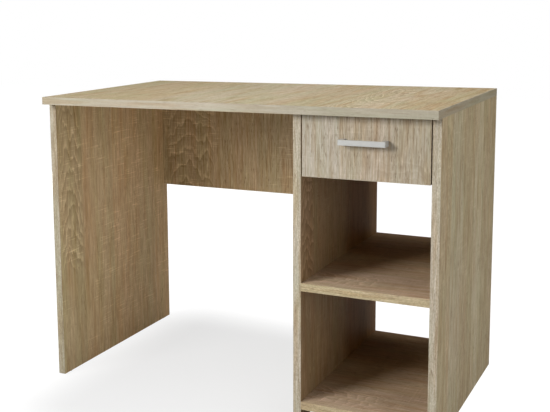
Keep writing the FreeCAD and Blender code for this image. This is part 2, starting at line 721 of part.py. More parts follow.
def screw_master(name, head, head_height, shank, length, recess):
    """A pan-head screw, the top of its head on X = 0."""
    body = new_body(name)
    end = f"({head_height} + {length})"
    turned(body, f"{name}_profile", [
        ("0", "0"), ("0", f"{head} * 0.36"), (f"{head_height} * 0.5", f"{head} / 2"),
        (head_height, f"{head} / 2"), (head_height, f"{shank} / 2"),
        (f"{end} - 1", f"{shank} / 2"), (end, f"{shank} / 2 - 0.8"), (end, "0")])
    cross_recess(body, f"{name}_cross", 0, "0", f"{head} * 0.26", f"{head} * 0.07", recess, True)
    return body


def sunk_screw_master(name, length):
    """A countersunk chipboard screw, its head flush at X = 0."""
    body = new_body(name)
    turned(body, f"{name}_profile", [
        ("0", "0"), ("0", "screw_head / 2"), ("sunk_depth", "screw_diameter / 2"),
        (f"{length} - 3", "screw_diameter / 2"), (length, "0.4"), (length, "0")])
    cross_recess(body, f"{name}_cross", 0, "0", "1.8", "0.45", "1.5", True)
    return body


screw = screw_master("runner_screw", "screw_head", "screw_head_height", "screw_diameter",
                     "screw_length", "0.7")
screws = []
for station in SCREW_STATIONS:
    left_place, right_place = facing_pair("runner_steel + screw_head_height", station,
                                          "runner_screw_rise")
    screws += [(left_place, LEFTWARD), (right_place, RIGHTWARD)]
    for node, face, place in (("cabinet_inner_side", "right", left_place),
                              ("cabinet_outer_side", "left", right_place)):
        drill(node, f"runner_screw_{len(screws)}", face, [flat(onto(node, place), 0)],
              "screw_diameter + bore_play", "screw_length")
copies("cabinet_runner_screws", screw, screws)

drawer_screw = screw_master("drawer_runner_screw", "screw_head", "screw_head_height",
                            "screw_diameter", "drawer_board - 1", "0.7")
screws = []
for station in DRAWER_SCREW_STATIONS:
    left_place, right_place = facing_pair(f"{WEB} - screw_head_height", station,
                                          "runner_screw_rise")
    screws += [(left_place, RIGHTWARD), (right_place, LEFTWARD)]
    for node, face, place in (("drawer_left_side", "left", left_place),
                              ("drawer_right_side", "right", right_place)):
        drill(node, f"runner_screw_{len(screws)}", face, [flat(onto(node, place), 0)],
              "screw_diameter + bore_play", "drawer_board - 1.5")
copies("drawer_runner_screws", drawer_screw, screws)

# Two countersunk screws through each drawer side into the end of the drawer back
BACK_HEIGHT = "(drawer_side_height - back_rise)"
BACK_STATIONS = ("back_screw_inset", f"{BACK_HEIGHT} - back_screw_inset")
screws = []
for side, face, rotation in (("drawer_left_side", "left", RIGHTWARD),
                             ("drawer_right_side", "right", LEFTWARD)):
    axis, far = FACES[face]
    ends = [("drawer_board / 2", station) for station in BACK_STATIONS]
    drill("drawer_back", f"{face}_screws", face, ends, "screw_diameter + bore_play",
          "back_screw_length - drawer_board")
    edge = BACK_WIDTH if far else "0"
    met = [onto(side, carried("drawer_back", (edge, u, v))) for u, v in ends]
    sketch = sketch_on(parts[side], f"{side}_back_screws", 0, "drawer_board" if far else "0")
    circles(sketch, [flat(spot, 0) for spot in met], SCREW_HOLE)
    doc.recompute()
    hole = parts[side].newObject("PartDesign::Hole", f"{side}_back_screw_holes")
    hole.Profile = sketch
    doc.recompute()
    hole.Reversed = not far
    hole.DepthType = "ThroughAll"
    hole.HoleCutType = "Countersink"
    hole.HoleCutCountersinkAngle = 90
    bind(hole, "Diameter", SCREW_HOLE)
    bind(hole, "HoleCutDiameter", "screw_head + 4 * bore_play")
    doc.recompute()
    for spot in met:
        screws.append((carried(side, ("drawer_board" if far else "0", spot[1], spot[2])), rotation))
copies("drawer_back_screws", sunk_screw_master("drawer_back_screw", "back_screw_length"), screws)

# The bridge handle: one bar on two legs, the two screws in the legs
handle = new_body("handle", ("handle_middle - handle_length / 2", "side_front - handle_reach",
                             "front_bottom + handle_rise - handle_height / 2"))
OUTER_LEG = "handle_length - handle_leg"
pad(handle, outline(sketch_on(handle, "handle_plan", 2), [
    ("handle_corner", "0"), ("handle_length - handle_corner", "0"),
    ("handle_length", "handle_corner"), ("handle_length", "handle_reach"),
    (OUTER_LEG, "handle_reach"), (OUTER_LEG, "handle_bar"), ("handle_leg", "handle_bar"),
    ("handle_leg", "handle_reach"), ("0", "handle_reach"), ("0", "handle_corner")]),
    "handle_height")
LEG_MIDDLES = [("handle_leg / 2", "handle_height / 2"),
               ("handle_length - handle_leg / 2", "handle_height / 2")]
tapped = sketch_on(handle, "handle_tapped_holes", 1, "handle_reach")
cut(handle, circles(tapped, LEG_MIDDLES, "handle_screw + bore_play"),
    "handle_screw_grip + bore_spare", backwards=True)
keep(handle, "handle")
HANDLE_LOW = ("handle_middle - handle_length / 2 - front_left",
              "handle_rise - handle_height / 2")
through = [(f"{HANDLE_LOW[0]} + {u}", f"{HANDLE_LOW[1]} + {v}") for u, v in LEG_MIDDLES]
drill("drawer_front", "handle_screws", "front", through, "handle_screw_hole", "board_thickness")
FORWARD = turn(Vector(0, -1, 0), Vector(0, 0, 1))
screws = [(carried("drawer_front", (u, "board_thickness + handle_screw_head_height", v)), FORWARD)
          for u, v in through]
copies("handle_screws", screw_master("handle_screw_piece", "handle_screw_head",
                                     "handle_screw_head_height", "handle_screw",
                                     "handle_screw_length", "1.4"), screws)

doc.recompute()
for thing in doc.Objects:
    if "Invalid" in thing.State or "Error" in thing.State:
        raise RuntimeError(f"{thing.Label} did not build: {thing.State}")
os.makedirs("parts", exist_ok=True)
for node, thing in parts.items():
    shape = thing.Shape
    if shape.isNull() or not shape.isValid() or not shape.Solids:
        raise RuntimeError(f"{node} has no valid solid")
    print(f"{node}: {len(shape.Solids)} solids, {shape.Volume:.0f} mm3")
for node, thing in parts.items():
    thing.Shape.exportStep(f"parts/{node}.step")
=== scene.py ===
# %% [markdown]
# # A small computer desk in light oak board
# This lesson dresses a flat-pack desk: a top, two deep uprights and a back panel round the knee space,
# and a cabinet on the right with one drawer and two open compartments.
# The shapes come ready made from the cabinet maker's model, so the work here is finishes, light and camera.
# Everything is in metres: X runs to the cabinet end, Y to the back, Z up, and the floor is at Z = 0.

# %% Load the desk
from collections import namedtuple
from math import cos, pi, radians, sin

import bmesh
import bpy
from mathutils import Matrix, Vector


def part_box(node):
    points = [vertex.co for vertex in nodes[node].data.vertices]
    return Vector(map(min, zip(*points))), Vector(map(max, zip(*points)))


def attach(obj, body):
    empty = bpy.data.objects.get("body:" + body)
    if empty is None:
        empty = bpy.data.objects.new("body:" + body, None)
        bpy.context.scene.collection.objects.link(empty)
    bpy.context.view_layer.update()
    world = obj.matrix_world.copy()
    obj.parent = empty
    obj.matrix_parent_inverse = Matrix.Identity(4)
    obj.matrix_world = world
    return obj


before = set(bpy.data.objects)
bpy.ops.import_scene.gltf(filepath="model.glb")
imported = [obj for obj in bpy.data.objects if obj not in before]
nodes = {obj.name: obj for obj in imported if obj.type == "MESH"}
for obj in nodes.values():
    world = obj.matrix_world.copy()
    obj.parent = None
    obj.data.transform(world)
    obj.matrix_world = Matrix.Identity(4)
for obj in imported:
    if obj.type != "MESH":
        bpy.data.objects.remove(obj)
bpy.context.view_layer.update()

# %% [markdown]
# ## Where to stand
# A desk like this is shown from a little above its top, and from well to the right of the middle,
# so that the drawer front, the knee space and the outside of the cabinet all show.
# A long lens keeps the uprights nearly parallel. The picture is slid sideways and down with the lens
# shift, as on a view camera, and a small tilt and lean do the rest. A larger shift would need no tilt,
# but it would push the desk out of the picture as soon as it is seen from another side.

# %% Camera
def point_camera(place, heading, tilt, lean, lens, slide):
    """A camera at a place, turned by three angles in degrees: heading from +Y, tilt from level, and lean."""
    data = bpy.data.cameras.new("desk_camera")
    data.lens = lens
    data.shift_x, data.shift_y = slide
    camera = bpy.data.objects.new("desk_camera", data)
    bpy.context.scene.collection.objects.link(camera)
    # A camera looks along its own -Z, so the turn by 90 degrees first raises it to look along +Y.
    turn = (Matrix.Rotation(radians(heading), 4, "Z") @ Matrix.Rotation(radians(tilt), 4, "X")
            @ Matrix.Rotation(radians(lean), 4, "Y") @ Matrix.Rotation(radians(90), 4, "X"))
    camera.matrix_world = Matrix.Translation(place) @ turn
    bpy.context.scene.camera = camera
    return camera


camera = point_camera(place=(1.0025, -2.2837, 0.9636), heading=28.655, tilt=-8.226, lean=0.953,
                      lens=63.2, slide=(0.157, -0.102))

# %% [markdown]
# ## The studio
# The desk stands on a pale floor in a white room. There are six soft lamps. The key lamp, in front on the left,
# gives the shapes. The top lamp hangs over the desk, and the side and right lamps keep the cabinet's outside
# readable. The knee lamp is small and weak, for the left upright, and the back lamp is there for the views
# from behind.
# To the eye the floor glows, like a light table, which hides nearly all real shadows on it. The grey shade
# below the knee space is therefore painted: it is part of the floor's finish, and it doesn't follow the lamps.
# White is kept white by the plain display curve, because the softer one turns a white room grey.

# %% Floor, room and lamps
def soft_lamp(name, place, target, side, power, gloss=True):
    """A square lamp of the given side in metres, aimed at a point, with its power in watts.

    The lamp itself is never seen. Without gloss it isn't mirrored in a surface either.
    """
    data = bpy.data.lights.new(name, "AREA")
    data.shape, data.size, data.energy = "SQUARE", side, power
    lamp = bpy.data.objects.new(name, data)
    lamp.location = place
    aim = Vector(target) - Vector(place)
    lamp.rotation_mode = "QUATERNION"
    lamp.rotation_quaternion = aim.to_track_quat("-Z", "Y")
    lamp.visible_camera = False
    lamp.visible_glossy = gloss
    bpy.context.scene.collection.objects.link(lamp)
    return lamp


def wire(tree, kind, inputs=None, **settings):
    """Adds a shader node. settings are the node's own; inputs are numbers, colours or other nodes' sockets."""
    made = tree.nodes.new("ShaderNode" + kind)
    for name, value in settings.items():
        setattr(made, name, value)
    for key, value in (inputs or {}).items():
        if isinstance(value, bpy.types.NodeSocket):
            tree.links.new(value, made.inputs[key])
        else:
            made.inputs[key].default_value = value
    return made


def studio_floor(side, paint, seen_paint, glow, shade):
    """A square of pale floor. Its glow is only seen: it doesn't light the desk.

    paint is how pale the floor is to the light, and seen_paint how pale it is to the eye, under the glow.
    shade is the dimmer patch below the knee space: its left, right, front and back limits and the width of
    its soft edge, in metres, and how much of the glow it takes away.
    """
    mesh = bpy.data.meshes.new("studio_floor")
    half = side / 2
    corners = [(-half, -half, 0), (half, -half, 0), (half, half, 0), (-half, half, 0)]
    mesh.from_pydata(corners, [], [(0, 1, 2, 3)])
    floor = bpy.data.objects.new("studio_floor", mesh)
    bpy.context.scene.collection.objects.link(floor)
    pale = bpy.data.materials.new("pale_floor")
    pale.use_nodes = True
    tree = pale.node_tree
    tree.nodes.clear()
    seen = wire(tree, "LightPath").outputs["Is Camera Ray"]
    grey = wire(tree, "MapRange", {"Value": seen, "To Min": paint, "To Max": seen_paint}).outputs[0]
    matt = wire(tree, "BsdfDiffuse", {"Color": grey})
    left, right, front, back, edge, depth = shade
    here = wire(tree, "SeparateXYZ", {0: wire(tree, "TexCoord").outputs["Object"]}).outputs
    inside = seen
    for value, low, high in ((here[0], left, left + edge), (here[0], right, right - edge),
                             (here[1], front, front + edge), (here[1], back, back - edge)):
        keys = {"Value": value, "From Min": low, "From Max": high}
        step = wire(tree, "MapRange", keys, interpolation_type="SMOOTHSTEP").outputs[0]
        inside = wire(tree, "Math", {0: inside, 1: step}, operation="MULTIPLY").outputs[0]
    dim = wire(tree, "Math", {0: inside, 1: depth}, operation="MULTIPLY").outputs[0]
    full = wire(tree, "Math", {0: seen, 1: glow}, operation="MULTIPLY").outputs[0]
    strength = wire(tree, "Math", {0: full, 1: dim}, operation="SUBTRACT").outputs[0]
    light = wire(tree, "Emission", {"Color": (1, 1, 1, 1), "Strength": strength})
    both = wire(tree, "AddShader", {0: matt.outputs[0], 1: light.outputs[0]})
    wire(tree, "OutputMaterial", {"Surface": both.outputs[0]})
    mesh.materials.append(pale)


def white_room(fill):
    """White walls to the eye; the light they give is much weaker, as in a room much larger than the desk."""
    world = bpy.data.worlds.new("white_room")
    world.use_nodes = True
    tree = world.node_tree
    tree.nodes.clear()
    seen = wire(tree, "LightPath").outputs["Is Camera Ray"]
    strength = wire(tree, "MapRange", {"Value": seen, "To Min": fill, "To Max": 1.0})
    shade = wire(tree, "Background", {"Color": (1, 1, 1, 1), "Strength": strength.outputs[0]})
    wire(tree, "OutputWorld", {"Surface": shade.outputs[0]})
    bpy.context.scene.world = world


studio_floor(side=16, paint=0.45, seen_paint=0.12, glow=1.0, shade=(-0.62, 0.52, -0.70, 0.50, 0.28, 0.28))
white_room(fill=0.025)
lamps = [
    # name, place, what it is aimed at, side, power
    soft_lamp("key_lamp", (-1.6, -2.8, 1.82), (0.0, -0.1, 0.45), 1.3, 104),
    soft_lamp("top_lamp", (0.2, -0.2, 3.0), (0.0, 0.0, 0.7), 2.2, 62),
    soft_lamp("side_lamp", (3.2, -2.2, 1.4), (0.3, 0.0, 0.4), 2.0, 23),
    soft_lamp("right_lamp", (3.5, 0.3, 1.2), (0.5, 0.0, 0.4), 2.0, 41),
    soft_lamp("knee_lamp", (0.12, -0.33, 0.40), (-0.82, 0.00, 0.42), 0.40, 1.5, gloss=False),
    soft_lamp("back_lamp", (-2.4, 2.6, 0.32), (0.0, 0.0, 0.40), 0.5, 52, gloss=False),
]
bpy.context.scene.view_settings.view_transform = "Standard"
print(len(lamps), "lamps,", sum(lamp.data.energy for lamp in lamps), "W in all")

# %% [markdown]
# ## How a board is printed
# The boards are chipboard faced with melamine: a printed paper under a hard clear skin. The print copies
# sawn light oak, glued up from staves of slightly different trees. It has a few layers, from large to small:
# the stave's own tint, slow cloudy changes along it, streaks, fine dark pores, pointed figure where the
# stave was cut near its heart, and pale marks across the grain where the saw went.
# An image would do it, but noise that is stretched along the grain has no seams and no resolution.

# %% Helpers for finishes
def new_finish(name):
    """An empty finish: a material with a shader on its output. Returns the material, its tree and the shader."""
    finish = bpy.data.materials.new(name)
    finish.use_nodes = True
    tree = finish.node_tree
    tree.nodes.clear()
    shader = wire(tree, "BsdfPrincipled")
    wire(tree, "OutputMaterial", {"Surface": shader.outputs[0]})
    return finish, tree, shader


def maths(tree, operation, *values):
    """One Math node's result."""
    return wire(tree, "Math", dict(enumerate(values)), operation=operation).outputs[0]


def ramp(tree, value, low, high, to_low=0.0, to_high=1.0):
    """A value that goes smoothly from to_low to to_high while another goes from low to high."""
    keys = {"Value": value, "From Min": low, "From Max": high, "To Min": to_low, "To Max": to_high}
    return wire(tree, "MapRange", keys, interpolation_type="SMOOTHSTEP").outputs[0]


MIX_A, MIX_B, MIX_RESULT = 6, 7, 2          # a Mix node's sockets when it mixes colours


def blend(tree, amount, under, over, way="MIX"):
    """The colour over laid on the colour under."""
    made = wire(tree, "Mix", {0: amount}, data_type="RGBA", blend_type=way)
    for key, colour in ((MIX_A, under), (MIX_B, over)):
        if isinstance(colour, bpy.types.NodeSocket):
            tree.links.new(colour, made.inputs[key])
        else:
            made.inputs[key].default_value = (*colour, 1)
    return made.outputs[MIX_RESULT]


def tinted(tree, amount, colour, tint):
    """The colour darkened or lightened by a tint, which is a factor for red, green and blue."""
    return blend(tree, amount, colour, tint, "MULTIPLY")


def stretched(tree, laid, size, seed, detail=2.0, rough=0.5):
    """Noise whose patches are about size metres (across, along, through) on a board laid with lay().

    Each seed reads another place of the same endless noise.
    """
    scale = tuple(1 / s for s in size)
    spot = wire(tree, "VectorMath", {0: laid, 1: scale, 2: (seed * 3.7, seed * 1.3, seed * 2.9)},
                operation="MULTIPLY_ADD").outputs[0]
    keys = {"Vector": spot, "Scale": 1.0, "Detail": detail, "Roughness": rough}
    return wire(tree, "TexNoise", keys).outputs[0]


AXES = {"X": 0, "Y": 1, "Z": 2}


def lay(tree, across, along, through):
    """Coordinates of a board by its own directions: across the grain, along it, and through the board."""
    here = wire(tree, "TexCoord").outputs["Object"]
    parts = wire(tree, "SeparateXYZ", {0: here}).outputs
    return wire(tree, "CombineXYZ", {i: parts[AXES[a]] for i, a in enumerate((across, along, through))}).outputs[0]


def facing(tree, axis):
    """How far a surface faces along an axis: 1, 0 or -1 on a square board."""
    normal = wire(tree, "NewGeometry").outputs["Normal"]
    return wire(tree, "SeparateXYZ", {0: normal}).outputs[AXES[axis]]


print("helpers ready")

# %% [markdown]
# ## Printed oak
# A board's tints are a list of staves: where each begins across the grain, and how it differs from the
# plain oak. Figure is drawn with parabolas: the rings of a tree cut near its heart are nested arches,
# so a height that rises along the grain and falls away to both sides is sliced into even steps.
# Between the staves and the pores lie five layers of stretched noise, which are listed in one table.

# %% Oak print
OAK = (0.47, 0.405, 0.300)                  # the plain board
PORE = (0.16, 0.105, 0.06)                  # the bottom of a pore
LIFT = (1.50, 1.54, 1.62)                   # the tint of every pale mark
PRINT_START, PRINT_WIDTH = -0.60, 1.20      # the strip across the grain that the staves fill, in metres
EDGE_WANDER = 0.008                         # how far a stave's edge strays, in metres

Layer = namedtuple("Layer", "seed size detail rough low high strength kind tint")
LAYERS = (
    Layer(1, (0.035, 0.30, 1), 2.0, 0.50, 0.35, 0.72, 0.70, "cloudy", (0.90, 0.98, 0.90)),     # slow clouds
    Layer(2, (0.013, 0.20, 1), 2.0, 0.50, 0.44, 0.70, 0.70, "cloudy", (0.88, 0.77, 0.64)),     # browner patches
    Layer(3, (0.0040, 0.080, 1), 3.0, 0.65, 0.42, 0.68, 0.62, "streaky", (0.66, 0.58, 0.48)),  # dark streaks
    Layer(4, (0.0045, 0.055, 1), 3.0, 0.65, 0.50, 0.72, 0.46, "streaky", LIFT),                # pale streaks
    Layer(9, (0.0015, 0.030, 1), 2.0, 0.70, 0.38, 0.66, 0.55, "streaky", (0.84, 0.80, 0.74)),  # single fibres
)
Figure = namedtuple("Figure", "middle half low high spacing bow wander strength")


def stave_tints(tree, laid, across, staves):
    """A colour that changes sharply at each stave's first edge. Staves are (place in metres, tint)."""
    stray = maths(tree, "MULTIPLY", stretched(tree, laid, (0.002, 0.04, 1), 4.0), EDGE_WANDER)
    place = maths(tree, "SUBTRACT", maths(tree, "ADD", across, stray), PRINT_START + EDGE_WANDER / 2)
    made = wire(tree, "ValToRGB", {"Fac": maths(tree, "DIVIDE", place, PRINT_WIDTH)})
    made.color_ramp.interpolation = "CONSTANT"
    stops = made.color_ramp.elements
    stops.remove(stops[1])
    for i, (first, tint) in enumerate(staves):
        position = (first - PRINT_START) / PRINT_WIDTH
        stop = stops[0] if i == 0 else stops.new(position)
        stop.position = max(0.0, position)
        stop.color = (*(c * t for c, t in zip(OAK, tint)), 1)
    return made.outputs["Color"]


def arches(tree, laid, across, along, figure, seed):
    """Nested pointed arches in one patch of a board: how strongly the pale lines and the shade below them show.

    The patch has a middle and a half width across the grain, and runs from low to high along it. spacing is
    between two arches. bow is how fast they fall away to both sides: towards low if it is positive, and
    towards high if it is negative. wander makes them irregular.
    """
    middle, half, low, high, spacing, bow, wander, strength = figure
    fade = 0.04
    side = maths(tree, "SUBTRACT", across, middle)
    hump = maths(tree, "MULTIPLY", maths(tree, "MULTIPLY", side, side), bow)
    sway = maths(tree, "MULTIPLY", stretched(tree, laid, (half * 0.7, spacing * 3, 1), seed, 3.0, 0.55), wander)
    height = maths(tree, "ADD", maths(tree, "ADD", maths(tree, "DIVIDE", along, spacing), hump), sway)
    tooth = maths(tree, "FRACT", height)
    line = maths(tree, "MULTIPLY", ramp(tree, tooth, 0.0, 0.10), ramp(tree, tooth, 0.10, 0.42, 1.0, 0.0))
    below = ramp(tree, tooth, 0.55, 1.0)
    patch = ramp(tree, maths(tree, "ABSOLUTE", side), half * 0.70, half, strength, 0.0)
    ends = maths(tree, "MULTIPLY", ramp(tree, along, low, low + fade), ramp(tree, along, high - fade, high, 1.0, 0.0))
    where = maths(tree, "MULTIPLY", patch, ends)
    return maths(tree, "MULTIPLY", line, where), maths(tree, "MULTIPLY", below, where)


def oak_print(tree, laid, staves, figure=None, seed=1.0, cloudy=1.0, streaky=1.0, sawn=1.0):
    """The printed oak's colour and height on a laid board. cloudy, streaky and sawn make those marks stronger."""
    parts = wire(tree, "SeparateXYZ", {0: laid}).outputs
    across, along = parts[0], parts[1]
    colour = stave_tints(tree, laid, across, staves)
    wanted = {"cloudy": cloudy, "streaky": streaky}
    for layer in LAYERS:
        noise = stretched(tree, laid, layer.size, seed + layer.seed, layer.detail, layer.rough)
        amount = ramp(tree, noise, layer.low, layer.high, 0.0, layer.strength * wanted[layer.kind])
        colour = tinted(tree, amount, colour, layer.tint)
    if figure:
        line, below = arches(tree, laid, across, along, figure, seed + 11)
        colour = tinted(tree, below, colour, (0.62, 0.58, 0.50))
        colour = tinted(tree, line, colour, LIFT)
    pore = stretched(tree, laid, (0.0016, 0.020, 1), seed + 5, 2.0, 0.6)
    crowd = stretched(tree, laid, (0.015, 0.09, 1), seed + 6, 1.0)
    flecks = maths(tree, "MULTIPLY", ramp(tree, pore, 0.55, 0.68), ramp(tree, crowd, 0.35, 0.60, 0.25, 1.0))
    colour = blend(tree, maths(tree, "MULTIPLY", flecks, 0.60 * streaky), colour, PORE)
    saw = stretched(tree, laid, (0.060, 0.0026, 1), seed + 7, 2.0, 0.5)
    where = stretched(tree, laid, (0.10, 0.13, 1), seed + 8, 1.0)
    marks = maths(tree, "MULTIPLY", ramp(tree, saw, 0.56, 0.72), ramp(tree, where, 0.42, 0.62))
    colour = tinted(tree, maths(tree, "MULTIPLY", marks, 0.32 * sawn), colour, LIFT)
    height = maths(tree, "SUBTRACT", maths(tree, "MULTIPLY", marks, 0.4), flecks)
    return colour, height


def skin(tree, shader, colour, height, gloss=0.54):
    """The clear hard skin over the print: nearly matt, pressed with the pores, a little smoother between them."""
    tree.links.new(colour, shader.inputs["Base Color"])
    tree.links.new(ramp(tree, height, -1.0, 0.4, gloss + 0.16, gloss), shader.inputs["Roughness"])
    press = wire(tree, "Bump", {"Height": height, "Strength": 0.35, "Distance": 0.0003})
    tree.links.new(press.outputs[0], shader.inputs["Normal"])
    shader.inputs["Specular IOR Level"].default_value = 0.28


print("plain oak is", [round(255 * c ** (1 / 2.2)) for c in OAK], "on a screen")

# %% [markdown]
# ## Bare chipboard
# Where the saw or the drill went through a board, the core shows: wood chips pressed in resin. Real chips are
# coarser in the middle; here they are all about one size, since little of the core is ever seen. Each chip is
# one cell of a Voronoi pattern with its own shade. On a board, the core is wherever the surface faces along
# the board instead of through it.

# %% Chipboard core
def chip_core(tree):
    """The colour of a cut chipboard core."""
    here = wire(tree, "TexCoord").outputs["Object"]
    chips = wire(tree, "TexVoronoi", {"Vector": here, "Scale": 420.0, "Randomness": 1.0})
    shade = wire(tree, "SeparateColor", {0: chips.outputs["Color"]}).outputs[0]
    colour = blend(tree, shade, (0.30, 0.19, 0.10), (0.62, 0.47, 0.29))
    glue = wire(tree, "TexNoise", {"Vector": here, "Scale": 900.0, "Detail": 2.0}).outputs[0]
    return blend(tree, ramp(tree, glue, 0.55, 0.75, 0.0, 0.6), colour, (0.16, 0.10, 0.055))


def faces_through(tree, through):
    """1 on a board's two wide faces and 0 on its cut edges and in its holes."""
    return ramp(tree, maths(tree, "ABSOLUTE", facing(tree, through)), 0.6, 0.9)


# Painted shade: where its front tint turns into its darker back tint, in metres across the grain.
SHADE_DEEPENS = (0.0, 0.09)                          # where a front tint turns into a back tint, in metres across the grain


def oak_board(name, across, along, through, staves, painted_shade=None, **style):
    """Printed oak on the wide faces, chipboard elsewhere.

    Painted shade is given as (1 or -1, tint) or (1 or -1, front tint, back tint). It tints the print on the side
    that faces along or against the through axis warmer and mostly darker, from the front tint to the back tint.
    """
    finish, tree, shader = new_finish(name)
    laid = lay(tree, across, along, through)
    colour, height = oak_print(tree, laid, staves, **style)
    wide = faces_through(tree, through)
    # Painted shade on the side that faces into the knee space or the cabinet: a warmer, mostly darker tint, darker
    # still towards the back where a back tint is given.
    if painted_shade:
        side, front_shade, back_shade = painted_shade[0], painted_shade[1], painted_shade[-1]
        deep = ramp(tree, wire(tree, "SeparateXYZ", {0: laid}).outputs[0], *SHADE_DEEPENS)
        tint = blend(tree, deep, front_shade, back_shade)
        colour = tinted(tree, ramp(tree, facing(tree, through), 0.2 * side, 0.8 * side), colour, tint)
    colour = blend(tree, wide, chip_core(tree), colour)
    skin(tree, shader, colour, maths(tree, "MULTIPLY", height, wide))
    return finish


def dress(finish, *names):
    """Puts a finish on named pieces of the desk."""
    for name in names:
        for slot in nodes[name].material_slots:
            slot.material = finish


print("chipboard ready")

# %% [markdown]
# ## The top
# The top is the palest board and its staves run from front to back. One stave right of the middle was cut
# near the heart and shows nested arches over most of its length.

# %% Dress the top
TOP_STAVES = [(PRINT_START, (0.98, 0.95, 0.88)), (-0.38, (1.00, 0.95, 0.86)), (-0.20, (1.02, 1.02, 1.00)),
              (-0.02, (1.05, 1.03, 1.01)), (0.12, (1.00, 0.96, 0.90)), (0.25, (1.05, 1.01, 0.97)),
              (0.41, (0.98, 0.92, 0.82))]
TOP_FIGURE = Figure(middle=0.330, half=0.090, low=-0.36, high=0.22, spacing=0.052,
                    bow=-720, wander=5.0, strength=0.44)
dress(oak_board("top_oak", "X", "Y", "Z", TOP_STAVES, figure=TOP_FIGURE, seed=2, cloudy=1.35, streaky=1.15),
      "desk_top")
print("top:", len(TOP_STAVES), "staves")

# %% [markdown]
# ## Uprights, back panel and shelves
# All upright boards are cut with the grain standing. The left upright has arches in its front stave,
# the back panel has the widest figure, and the shelves run from side to side. The faces inside the knee space
# and inside the cabinet carry painted shade: their print is tinted warmer and mostly darker, and the cabinet's
# gets darker to the back. The lamps alone leave those corners paler and greyer than they look on the real
# desk, so part of their shade is painted here.

# %% Dress the uprights and shelves
LEFT_STAVES = [(PRINT_START, (0.86, 0.90, 0.88)), (-0.161, (0.96, 0.94, 0.92)), (-0.10, (0.97, 0.99, 0.98)),
               (-0.01, (1.06, 1.02, 1.00)), (0.129, (1.04, 1.04, 1.03)), (0.219, (1.11, 1.07, 1.02))]
LEFT_FIGURE = Figure(middle=-0.213, half=0.056, low=0.26, high=0.76, spacing=0.056,
                     bow=560, wander=4.5, strength=0.54)
dress(oak_board("left_side_oak", "Y", "Z", "X", LEFT_STAVES, painted_shade=(1, (1.15, 0.98, 0.80)),
                figure=LEFT_FIGURE, seed=5, sawn=2.6), "left_side_panel")

# The stave on the right, from -0.17 m, is tinted darker with painted shade: the key lamp reaches that part of the
# back panel, which lies in the top's shade on the real desk.
MODESTY_STAVES_AND_SHADE = [(PRINT_START, (0.96, 0.91, 0.86)), (-0.300, (0.91, 0.86, 0.82)), (-0.17, (0.87, 0.86, 0.84))]
MODESTY_FIGURE = Figure(middle=-0.392, half=0.094, low=0.36, high=0.71, spacing=0.046,
                        bow=150, wander=4.8, strength=0.50)
dress(oak_board("modesty_oak", "X", "Z", "Y", MODESTY_STAVES_AND_SHADE, painted_shade=(-1, (1.02, 0.905, 0.75)),
                figure=MODESTY_FIGURE, seed=8, streaky=1.4, sawn=3.0), "modesty_panel")

INNER_STAVES = [(PRINT_START, (1.04, 1.05, 1.10)), (-0.19, (1.02, 1.06, 1.10)), (0.05, (1.02, 1.02, 1.04))]
INNER_FIGURE = Figure(middle=-0.225, half=0.045, low=0.30, high=0.62, spacing=0.036,
                      bow=800, wander=3.6, strength=0.62)
dress(oak_board("inner_side_oak", "Y", "Z", "X", INNER_STAVES, painted_shade=(1, (0.88, 0.69, 0.53), (0.64, 0.40, 0.22)),
                figure=INNER_FIGURE, seed=12), "cabinet_inner_side")

OUTER_STAVES = [(PRINT_START, (1.02, 0.95, 0.82)), (-0.17, (1.03, 1.02, 0.94)), (-0.06, (0.96, 0.90, 0.77)),
                (0.06, (1.10, 1.08, 0.99)), (0.15, (0.97, 0.91, 0.78))]
OUTER_FIGURE = Figure(middle=-0.205, half=0.060, low=0.40, high=0.78, spacing=0.036,
                      bow=600, wander=4.0, strength=0.22)
dress(oak_board("outer_side_oak", "Y", "Z", "X", OUTER_STAVES, figure=OUTER_FIGURE, seed=15, streaky=1.25),
      "cabinet_outer_side")

SHELF_STAVES = [(PRINT_START, (1.04, 1.04, 1.08)), (-0.12, (1.00, 0.98, 0.95)), (0.04, (0.96, 0.89, 0.80))]
SHELF_FIGURE = Figure(middle=-0.200, half=0.055, low=0.17, high=0.38, spacing=0.026,
                      bow=700, wander=3.0, strength=0.36)
dress(oak_board("shelf_oak", "Y", "X", "Z", SHELF_STAVES, painted_shade=(1, (1.13, 0.97, 0.91), (0.88, 0.70, 0.60)),
                figure=SHELF_FIGURE, seed=19), "middle_shelf", "bottom_shelf")
print("uprights and shelves dressed")

# %% [markdown]
# ## Caps over the cams
# The top is held to the uprights by cams, round locks set into the uprights' faces. Once the desk is up, each
# one is hidden by a stick-on cap printed like the board. The cams are found in the model by pulling its mesh
# apart into islands, so a cap always sits where its cam is. A cap is a thin disc with a rounded rim.

# %% Cam caps
CAP_RADIUS, CAP_THICK, CAP_SIDES = 0.0090, 0.0005, 40
NEAR, TOP_END = 0.0003, 0.06                # flush within this, and the upper end of a board where its cams are
# The cap's section from rim to middle, as parts of its radius and of its thickness.
CAP_PROFILE = ((1.0, 0.0), (1.0, 0.45), (0.975, 0.85), (0.93, 1.0), (0.5, 1.0))


def islands(node):
    """The lowest and highest corner of every separate solid in a node."""
    loose = bmesh.new()
    loose.from_mesh(nodes[node].data)
    bmesh.ops.remove_doubles(loose, verts=loose.verts, dist=1e-6)
    left = set(loose.verts)
    found = []
    while left:
        reached = [left.pop()]
        for vert in reached:
            for edge in vert.link_edges:
                other = edge.other_vert(vert)
                if other in left:
                    left.remove(other)
                    reached.append(other)
        found.append(tuple(Vector(f(v.co[i] for v in reached) for i in range(3)) for f in (min, max)))
    loose.free()
    return found


